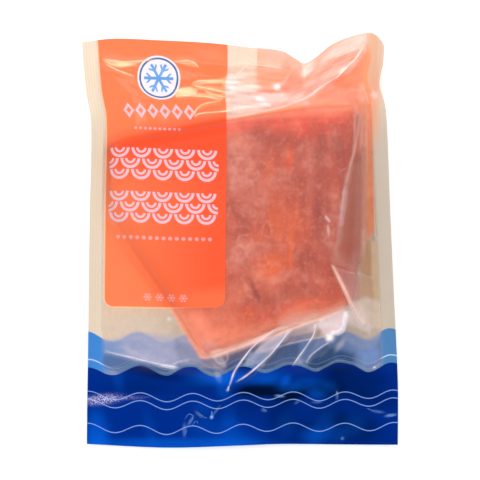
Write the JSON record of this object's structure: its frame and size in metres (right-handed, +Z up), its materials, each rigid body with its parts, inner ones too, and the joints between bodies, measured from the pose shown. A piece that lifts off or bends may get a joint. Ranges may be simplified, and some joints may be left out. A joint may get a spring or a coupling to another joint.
{
  "type": "salmon portion in a sealed pouch",
  "caption": "Thick salmon portion in a clear, printed, heat-sealed pouch that lies on its back, creased film drawn tight round the fish.",
  "frame": {"origin": "middle of the box that holds the part, at its underside", "axes": "+X to the pouch's right, +Y towards its top edge, +Z up from the surface it lies on"},
  "size_m": [0.1521, 0.1989, 0.0284],
  "materials": {
    "salmon": "moist salmon flesh under clear film",
    "front_film": "clear glossy film with orange and blue print",
    "back_film": "cream glossy film with orange and blue print"
  },
  "bodies": {
    "root": {"sealed_pouch": "salmon"}
  },
  "joints": []
}
